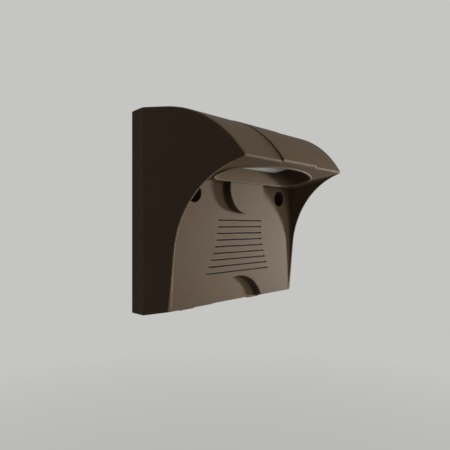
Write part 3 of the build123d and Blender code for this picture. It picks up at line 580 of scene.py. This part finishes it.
def screw_tree():
    """Small screw: flanged hex head with a driver slot, shank and thread."""
    names = ("Head Radius", "Head Height", "Shank Radius", "Length", "Pitch")
    group, inputs = new_tree("hex_flange_screw", names, ("Turn",))
    radius, tall = inputs["Head Radius"], inputs["Head Height"]
    shank, length = inputs["Shank Radius"], inputs["Length"]
    flange = add(group, "GeometryNodeMeshCone", {
        "Vertices": 24, "Radius Top": times(group, radius, 0.9),
        "Radius Bottom": radius, "Depth": times(group, tall, 0.3),
    })
    head = add(group, "GeometryNodeMeshCone", {
        "Vertices": 6, "Radius Top": times(group, radius, 0.74),
        "Radius Bottom": times(group, radius, 0.82), "Depth": times(group, tall, 0.7),
    })
    head = moved_up(group, head, times(group, tall, 0.3))
    slot_size = add(group, "ShaderNodeCombineXYZ", {
        "X": times(group, radius, 2.2), "Y": times(group, radius, 0.2), "Z": tall,
    })
    slot = add(group, "GeometryNodeMeshCube", {"Size": slot_size})
    slot = moved_up(group, slot, times(group, tall, 1.15))
    head = add(group, "GeometryNodeMeshBoolean", {"Mesh 1": head, "Mesh 2": slot},
               operation="DIFFERENCE")
    core = add(group, "GeometryNodeMeshCylinder", {
        "Vertices": 12, "Radius": times(group, shank, 0.88), "Depth": length,
    })
    core = moved_up(group, core, times(group, length, -0.5))
    depth = times(group, inputs["Pitch"], 0.3)
    root, threaded = times(group, shank, 0.88), times(group, length, 0.92)
    ridge = helix(group, root, inputs["Pitch"], threaded, depth)
    return spread(group, inputs, joined(group, [flange, head, core, ridge]))


def dome_tree():
    """Low dome of phosphor gel in a raised rim."""
    group, inputs = new_tree("phosphor_dome", ("Radius",), ("Turn",))
    ball = add(group, "GeometryNodeMeshUVSphere", {
        "Segments": 16, "Rings": 8, "Radius": inputs["Radius"],
    })
    flat = add(group, "GeometryNodeTransform", {"Geometry": ball, "Scale": (1.0, 1.0, 0.3)})
    ring = add(group, "GeometryNodeCurvePrimitiveCircle", {
        "Resolution": 20, "Radius": times(group, inputs["Radius"], 1.08),
    })
    bead = add(group, "GeometryNodeCurvePrimitiveCircle", {
        "Resolution": 6, "Radius": times(group, inputs["Radius"], 0.1),
    })
    rim = add(group, "GeometryNodeCurveToMesh", {"Curve": ring, "Profile Curve": bead})
    return spread(group, inputs, joined(group, [flat, rim]))


def pad_tree():
    """Two tinned pads, one at each end of an LED package."""
    group, inputs = new_tree("solder_pad_pair", ("Span", "Wide"), ("Turn",))
    pads = []
    for side in (0.5, -0.5):
        size = {"X": PAD_LONG, "Y": inputs["Wide"], "Z": PAD_THICK}
        size = add(group, "ShaderNodeCombineXYZ", size)
        pad = add(group, "GeometryNodeMeshCube", {"Size": size})
        place = add(group, "ShaderNodeCombineXYZ", {"X": times(group, inputs["Span"], side)})
        pads.append(add(group, "GeometryNodeTransform", {"Geometry": pad, "Translation": place}))
    return spread(group, inputs, joined(group, pads))


def rib_tree(name, tilt):
    """Half-round rib, upright until it is tilted about Y."""
    group, inputs = new_tree(name, ("Long", "Radius"))
    bar = add(group, "GeometryNodeMeshCylinder", {
        "Vertices": 12, "Radius": inputs["Radius"], "Depth": inputs["Long"],
    })
    links = {"Geometry": bar, "Rotation": (0.0, tilt, 0.0)}
    return spread(group, inputs, add(group, "GeometryNodeTransform", links))


def bush_tree():
    """Stepped rubber bush round a lead, where it leaves the driver's case."""
    group, inputs = new_tree("lead_bush", ("Radius",), ("Turn",))
    steps = []
    for wide, deep in BUSH_STEPS:
        steps.append(add(group, "GeometryNodeMeshCone", {
            "Vertices": 20, "Radius Bottom": times(group, inputs["Radius"], wide),
            "Radius Top": times(group, inputs["Radius"], wide * 0.86), "Depth": deep,
        }))
    return spread(group, inputs, joined(group, steps))


def prism_tree():
    """Four-sided prisms pressed into the flat underside of the drop glass."""
    names = ("Across", "Deep", "Pitch", "Rise")
    group, inputs = new_tree(
        "pressed_prisms", names, ("Turn", "Up", "Place"), [("Glass", "NodeSocketObject")]
    )
    counts = [
        add(group, "ShaderNodeMath", {0: inputs[way], 1: inputs["Pitch"]}, operation="DIVIDE")
        for way in ("Across", "Deep")
    ]
    grid = add(group, "GeometryNodeMeshGrid", {
        "Size X": inputs["Across"], "Size Y": inputs["Deep"],
        "Vertices X": counts[0], "Vertices Y": counts[1],
    })
    links = {"Geometry": grid, "Rotation": inputs["Turn"], "Translation": inputs["Place"]}
    grid = add(group, "GeometryNodeTransform", links)
    glass = add(group, "GeometryNodeObjectInfo", {"Object": inputs["Glass"]},
                transform_space="RELATIVE")
    glass = next(out for out in glass.node.outputs if out.name == "Geometry")
    cast = add(group, "GeometryNodeRaycast", {
        "Target Geometry": glass, "Ray Direction": inputs["Up"], "Ray Length": RAY_LENGTH,
    }).node
    level = add(group, "ShaderNodeVectorMath",
                {0: cast.outputs["Hit Normal"], 1: inputs["Up"]}, out="Value",
                operation="DOT_PRODUCT")
    facing_down = add(group, "FunctionNodeCompare", {"A": level, "B": FACES_DOWN},
                      operation="LESS_THAN")
    kept = add(group, "FunctionNodeBooleanMath",
               {0: facing_down, 1: cast.outputs["Is Hit"]}, operation="AND")
    placed = add(group, "GeometryNodeSetPosition",
                 {"Geometry": grid, "Position": cast.outputs["Hit Position"]})
    prism = add(group, "GeometryNodeMeshCone", {
        "Vertices": 4, "Radius Top": times(group, inputs["Pitch"], 0.12),
        "Radius Bottom": times(group, inputs["Pitch"], 0.68), "Depth": inputs["Rise"],
    })
    prism = add(group, "GeometryNodeTransform",
                {"Geometry": prism, "Rotation": (radians(180), 0.0, radians(45))})
    return spread(group, inputs, prism, Points=placed, Selection=kept)


def grow(name, group, sizes, points, material, node, replaced=None):
    """The mesh that a tree makes on the points, on the given node's body."""
    start = bpy.data.meshes.new(name)
    start.from_pydata(points, [], [])
    piece = bpy.data.objects.new(name, start)
    bpy.context.scene.collection.objects.link(piece)
    modifier = piece.modifiers.new(group.name, "NODES")
    modifier.node_group = group
    values = dict(sizes, Material=material)
    for item in group.interface.items_tree:
        if item.name in values:
            modifier[item.identifier] = values[item.name]
    bake_modifiers(piece)
    if not piece.data.polygons:
        raise RuntimeError(name + " came out empty")
    piece.data.shade_smooth()
    piece.data.set_sharp_from_angle(angle=radians(35))
    if replaced:
        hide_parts(replaced)
    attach(piece, body_of(node))
    return piece


# ---- operators -------------------------------------------------------------------------
class WALLPACK_OT_castings(bpy.types.Operator):
    """Front housing and back box in their powder coat, and the door screws"""

    bl_idname = "wallpack.castings"
    bl_label = "Castings"

    def execute(self, context):
        settings = context.scene.wallpack_casting
        coat = powder_coat(settings)
        for node in ("front_housing", "back_box"):
            finish_node(node, coat)
        screw_coat = plain_finish(
            "bronze_screw_finish", (0.07, 0.055, 0.04), 0.42, 0.0008, 0.00002, 0.6
        )
        pitch = context.scene.wallpack_hardware.door_pitch
        for side in ("left", "right"):
            node = "captive_screw_" + side
            finish_node(node, screw_coat)
            low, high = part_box(node)
            middle = (low + high) / 2
            start = Vector((middle.x, high.y - DOOR_THREAD_TIP, middle.z))
            sizes = {"Turn": turn_to(FORWARD), "Pitch": pitch, **DOOR_THREAD}
            grow("door_screw_thread_" + side, thread_tree(), sizes, [start], screw_coat, node)
        return {"FINISHED"}


class WALLPACK_OT_drop_glass(bpy.types.Operator):
    """Drop glass with its pressed prisms, its gasket, and the sheet frame and bracket"""

    bl_idname = "wallpack.drop_glass"
    bl_label = "Drop glass"

    def execute(self, context):
        settings = context.scene.wallpack_glass
        glass = drop_glass_material(settings)
        finish_node("lens", glass)
        low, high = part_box("lens")
        below = (low + high) / 2 - LIGHT_UP * BELOW_GLASS
        sizes = {
            "Turn": turn_to(LIGHT_UP), "Up": LIGHT_UP, "Place": below,
            "Glass": frame["nodes"]["lens"],
            "Across": high.x - low.x, "Deep": high.y - low.y,
            "Pitch": settings.prism, "Rise": settings.prism_rise,
        }
        grow("glass_prisms", prism_tree(), sizes, [], glass, "lens")
        silicone = plain_finish("silicone_gasket", (0.55, 0.55, 0.52), 0.55, 0.001, 0.00003)
        finish_node("lens_gasket", silicone)
        sheet = plain_finish(
            "galvanised_sheet", (0.48, 0.5, 0.51), 0.38, 0.004, 0.00002, 0.9, drift=0.2
        )
        for node in ("lens_frame", "driver_bracket"):
            finish_node(node, sheet)
        return {"FINISHED"}


class WALLPACK_OT_light_engine(bpy.types.Operator):
    """Reflector, LED board and its packages, thermal pad, carrier and driver"""

    bl_idname = "wallpack.light_engine"
    bl_label = "Light engine"

    def execute(self, context):
        finish_node("reflector", plain_finish(
            "white_reflector_sheet", (0.86, 0.86, 0.84), 0.3, 0.002, 0.00001, drift=0.02
        ))
        finish_node("led_board", plain_finish(
            "white_solder_mask", (0.78, 0.79, 0.77), 0.32, 0.001, 0.00001, drift=0.04
        ))
        settings = context.scene.wallpack_engine
        finish_node("led_packages", plain_finish(
            "package_ceramic", (0.8, 0.8, 0.77), 0.35, 0.001, 0.00001, drift=0.03
        ))
        packages = parts_of("led_packages")
        faces = [middle_of(corners) - LIGHT_UP * PACKAGE_HALF for corners in packages]
        phosphor = plain_finish("phosphor_gel", settings.phosphor, 0.3, 0.0008, 0.00002)
        sizes = {"Turn": turn_to(-LIGHT_UP), "Radius": settings.dome}
        grow("phosphor_domes", dome_tree(), sizes, faces, phosphor, "led_packages")
        solder = plain_finish("tinned_solder", (0.6, 0.6, 0.58), 0.3, 0.0005, 0.00002, 0.95)
        sizes = {"Turn": turn_to(-LIGHT_UP), **SOLDER_PAD}
        bases = [face + LIGHT_UP * PAD_DROP for face in faces]
        grow("solder_pads", pad_tree(), sizes, bases, solder, "led_packages")
        finish_node("thermal_pad", plain_finish(
            "thermal_pad_silicone", (0.36, 0.42, 0.48), 0.8, 0.001, 0.00004
        ))
        finish_node("led_carrier", plain_finish(
            "mill_aluminium", (0.6, 0.6, 0.61), 0.35, 0.0012, 0.00001, 0.95,
            stretch=(0.05, 1.0, 1.0),
        ))
        case = plain_finish(
            "driver_case_anodised", (0.5, 0.5, 0.51), 0.4, 0.0012, 0.00001, 0.8,
            stretch=(0.05, 1.0, 1.0),
        )
        finish_node("driver", case)
        low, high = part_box("driver")
        count = context.scene.wallpack_hardware.ribs
        step = (high.z - low.z) / (count + 1)
        middle = (low + high) / 2
        rows = [Vector((middle.x, high.y, low.z + step * (n + 1))) for n in range(count)]
        sizes = {"Long": high.x - low.x - RIB_MARGIN, "Radius": RIB_RADIUS}
        along_x = rib_tree("case_rib", radians(90))
        grow("driver_ribs", along_x, sizes, rows, case, "driver")
        return {"FINISHED"}


class WALLPACK_OT_hardware(bpy.types.Operator):
    """Screws, rings, pins and inserts"""

    bl_idname = "wallpack.hardware"
    bl_label = "Hardware"

    def execute(self, context):
        settings = context.scene.wallpack_hardware
        zinc = plain_finish("zinc_plate", settings.zinc, 0.35, 0.0006, 0.00001, 0.9)
        steel = plain_finish("stainless_steel", (0.52, 0.52, 0.51), 0.3, 0.0006, 0.00001, 1.0)
        brass = plain_finish("turned_brass", (0.6, 0.42, 0.16), 0.32, 0.0006, 0.00001, 1.0)
        green = plain_finish("green_ground_screw", (0.03, 0.22, 0.06), 0.4, 0.0006, 0.00001)
        heads = {
            "lens_frame_screws": LIGHT_UP, "led_board_screws": -LIGHT_UP,
            "carrier_screws": -LIGHT_UP, "driver_screws": -FORWARD, "holder_screws": -FORWARD,
        }
        tree = screw_tree()
        for node, way in heads.items():
            seats, sizes = measure_screws(node, way)
            sizes.update({"Turn": turn_to(way), "Pitch": settings.pitch})
            grow(node + "_turned", tree, sizes, seats, zinc, node, node)
        for node in ("retaining_ring_left", "retaining_ring_right", "hinge_pins"):
            finish_node(node, steel)
        finish_node("screw_inserts", brass)
        finish_node("ground_screw", green)
        return {"FINISHED"}


class WALLPACK_OT_seals(bpy.types.Operator):
    """Foam wall gasket, seam gasket and entry bush"""

    bl_idname = "wallpack.seals"
    bl_label = "Seals"

    def execute(self, context):
        foam = plain_finish("closed_cell_foam", (0.035, 0.035, 0.037), 0.9, 0.0008, 0.0002)
        rubber = plain_finish("moulded_rubber", (0.022, 0.022, 0.023), 0.6, 0.001, 0.00004)
        finish_node("wall_gasket", foam)
        for node in ("seal_gasket", "entry_grommet"):
            finish_node(node, rubber)
        return {"FINISHED"}


class WALLPACK_OT_wiring(bpy.types.Operator):
    """Leads with their bushes, connectors with their grips, and the holder"""

    bl_idname = "wallpack.wiring"
    bl_label = "Wiring"

    def execute(self, context):
        colours = {
            "led_lead_red": (0.42, 0.02, 0.02),
            "led_lead_black": (0.02, 0.02, 0.02),
            "supply_lead_black": (0.02, 0.02, 0.02),
            "supply_lead_white": (0.7, 0.7, 0.68),
            "supply_lead_green": (0.02, 0.22, 0.05),
        }
        for node, colour in colours.items():
            finish_node(node, plain_finish(node + "_jacket", colour, 0.4, 0.001, 0.00002))
        amber = plain_finish("connector_polycarbonate", (0.62, 0.36, 0.07), 0.3, 0.001, 0.00001)
        finish_node("wire_connectors", amber)
        grips = []
        for corners in parts_of("wire_connectors"):
            middle = middle_of(corners)
            outer = min(corner.x for corner in corners) + GRIP_START
            rear = max(corner.y for corner in corners)
            grips += [Vector((outer + GRIP_STEP * n, rear, middle.z)) for n in range(GRIPS)]
        upright = rib_tree("grip_rib", 0.0)
        grow("connector_grips", upright, GRIP, grips, amber, "wire_connectors")

        rubber = plain_finish("bush_rubber", (0.025, 0.025, 0.026), 0.6, 0.001, 0.00004)
        tree = bush_tree()
        for node in colours:
            way = UPWARD if node.startswith("led") else LEFTWARD
            corners = [corner for part in parts_of(node) for corner in part]
            first = min(corner.dot(way) for corner in corners)
            end_face = [corner for corner in corners if corner.dot(way) < first + END_FACE]
            sizes = {"Turn": turn_to(way), "Radius": LEAD_RADIUS}
            grow(node + "_bush", tree, sizes, [middle_of(end_face)], rubber, node)
        finish_node("connector_holder", plain_finish(
            "moulded_nylon", (0.55, 0.55, 0.52), 0.5, 0.001, 0.00003
        ))
        return {"FINISHED"}


# ---- stage -----------------------------------------------------------------------------
def seen_background(tree, seen, unseen):
    """Mixes two shaders: the first for what camera, mirror and glass rays meet."""
    path = tree.nodes.new("ShaderNodeLightPath").outputs
    met = worked_out(tree, "MAXIMUM", path["Is Camera Ray"], path["Is Glossy Ray"])
    met = worked_out(tree, "MAXIMUM", met, path["Is Transmission Ray"])
    mix = tree.nodes.new("ShaderNodeMixShader")
    for number, socket in enumerate((met, unseen.outputs[0], seen.outputs[0])):
        tree.links.new(socket, mix.inputs[number])
    return mix.outputs[0]


def floor_paint(settings):
    """Pale paint that keeps a soft shadow and fades into the surround further off."""
    made, tree, shader = blank_material("pale_floor_paint", 1.0, 0.0, 0.0)
    shader.inputs["Base Color"].default_value = (*settings.floor, 1.0)
    plain = tree.nodes.new("ShaderNodeEmission")
    plain.inputs["Color"].default_value = (*settings.floor, 1.0)
    place = tree.nodes.new("ShaderNodeTexCoord")
    far = tree.nodes.new("ShaderNodeVectorMath")
    far.operation = "LENGTH"
    tree.links.new(place.outputs["Object"], far.inputs[0])
    fade = map_range(tree, far.outputs["Value"], 0.7, 1.0, *FLOOR_FADE)
    mix = tree.nodes.new("ShaderNodeMixShader")
    for number, socket in enumerate((fade, shader.outputs[0], plain.outputs[0])):
        tree.links.new(socket, mix.inputs[number])
    surface = seen_background(tree, mix, shader)
    tree.links.new(surface, tree.nodes["Material Output"].inputs["Surface"])
    return made


def area_lamp(name, place, aim, side, power, colour=(1.0, 1.0, 1.0)):
    """Square soft lamp that points at the aim and keeps its light off the floor beside it."""
    data = bpy.data.lights.new(name, "AREA")
    data.shape = "SQUARE"
    data.spread = LAMP_SPREAD
    data.size = side
    data.energy = power
    data.color = colour
    lamp = bpy.data.objects.new(name, data)
    lamp.location = place
    lamp.rotation_euler = (aim - place).to_track_quat("-Z", "Y").to_euler()
    bpy.context.scene.collection.objects.link(lamp)


def level_way(turn, side):
    """A level direction, turned to the right from the front (-1) or the back (1)."""
    return Vector((sin(turn), side * cos(turn), 0.0))


class WALLPACK_OT_stage(bpy.types.Operator):
    """Pale floor, soft lamps, surround and the photograph's camera"""

    bl_idname = "wallpack.stage"
    bl_label = "Stage"

    def execute(self, context):
        settings = context.scene.wallpack_stage
        scene = context.scene
        scene.view_settings.view_transform = "Standard"

        floor_mesh = bpy.data.meshes.new("pale_floor")
        corners = [
            (x * FLOOR_REACH, y * FLOOR_REACH, -settings.drop)
            for x, y in ((-1, -1), (1, -1), (1, 1), (-1, 1))
        ]
        floor_mesh.from_pydata(corners, [], [(0, 1, 2, 3)])
        floor = bpy.data.objects.new("pale_floor", floor_mesh)
        scene.collection.objects.link(floor)
        floor_mesh.materials.append(floor_paint(settings))

        world = bpy.data.worlds.new("pale_surround")
        world.use_nodes = True
        tree = world.node_tree
        seen = tree.nodes["Background"]
        seen.inputs["Color"].default_value = (*settings.floor, 1.0)
        unseen = tree.nodes.new("ShaderNodeBackground")
        unseen.inputs["Color"].default_value = (1.0, 1.0, 1.0, 1.0)
        unseen.inputs["Strength"].default_value = settings.fill
        surface = seen_background(tree, seen, unseen)
        tree.links.new(surface, tree.nodes["World Output"].inputs["Surface"])
        scene.world = world

        middle = (HOUSING_LOW + HOUSING_HIGH) / 2
        rise = settings.key_rise
        key = level_way(settings.key_turn, -1) * cos(rise) + UPWARD * sin(rise)
        key = middle + key * KEY_AWAY
        area_lamp("key", key, middle, KEY_SIDE, settings.key, KEY_COLOUR)
        front = middle + level_way(FRONT_TURN, -1) * SOFT_AWAY
        area_lamp("front", front, middle, FRONT_SIDE, settings.front)
        back = middle + level_way(BACK_TURN, 1) * SOFT_AWAY
        area_lamp("back", back, middle, BACK_SIDE, settings.back)
        area_lamp("top", middle + TOP_PLACE, middle, TOP_SIDE, settings.top)

        camera_data = bpy.data.cameras.new("photo_camera")
        camera_data.lens = CAMERA_LENS
        camera_data.sensor_width = SENSOR
        camera_data.clip_start = 0.01
        camera = bpy.data.objects.new("photo_camera", camera_data)
        camera.location = CAMERA_PLACE
        camera.rotation_euler = (radians(90), 0.0, CAMERA_TURN)
        scene.collection.objects.link(camera)
        scene.camera = camera
        return {"FINISHED"}


# ---- add-on ----------------------------------------------------------------------------
class WALLPACK_PT_panel(bpy.types.Panel):
    """Settings and steps of the wall pack light"""

    bl_idname = "WALLPACK_PT_panel"
    bl_label = "Wall Pack Light"
    bl_space_type = "VIEW_3D"
    bl_region_type = "UI"
    bl_category = "Wall Pack"

    def draw(self, context):
        for settings, operators in PANEL_ROWS:
            box = self.layout.box()
            if settings:
                group = getattr(context.scene, settings)
                for name in group.__annotations__:
                    box.prop(group, name)
            for operator in operators:
                box.operator(operator.bl_idname)


PANEL_ROWS = [
    ("wallpack_casting", [WALLPACK_OT_castings]),
    ("wallpack_glass", [WALLPACK_OT_drop_glass]),
    ("wallpack_engine", [WALLPACK_OT_light_engine]),
    ("wallpack_hardware", [WALLPACK_OT_hardware]),
    (None, [WALLPACK_OT_seals, WALLPACK_OT_wiring]),
    ("wallpack_stage", [WALLPACK_OT_stage]),
]
SETTINGS = {
    "wallpack_casting": CastingSettings,
    "wallpack_glass": GlassSettings,
    "wallpack_engine": EngineSettings,
    "wallpack_hardware": HardwareSettings,
    "wallpack_stage": StageSettings,
}


def register():
    """Adds the settings, the steps and the panel to Blender."""
    for name, group in SETTINGS.items():
        bpy.utils.register_class(group)
        setattr(bpy.types.Scene, name, PointerProperty(type=group))
    for _, operators in PANEL_ROWS:
        for operator in operators:
            bpy.utils.register_class(operator)
    bpy.utils.register_class(WALLPACK_PT_panel)


def unregister():
    """Takes them out again, in the opposite order."""
    bpy.utils.unregister_class(WALLPACK_PT_panel)
    for _, operators in reversed(PANEL_ROWS):
        for operator in reversed(operators):
            bpy.utils.unregister_class(operator)
    for name, group in SETTINGS.items():
        delattr(bpy.types.Scene, name)
        bpy.utils.unregister_class(group)


def main():
    """Builds every piece and the stage."""
    register()
    bpy.ops.wallpack.castings()
    bpy.ops.wallpack.drop_glass()
    bpy.ops.wallpack.light_engine()
    bpy.ops.wallpack.hardware()
    bpy.ops.wallpack.seals()
    bpy.ops.wallpack.wiring()
    bpy.ops.wallpack.stage()


if __name__ == "__main__":
    main()
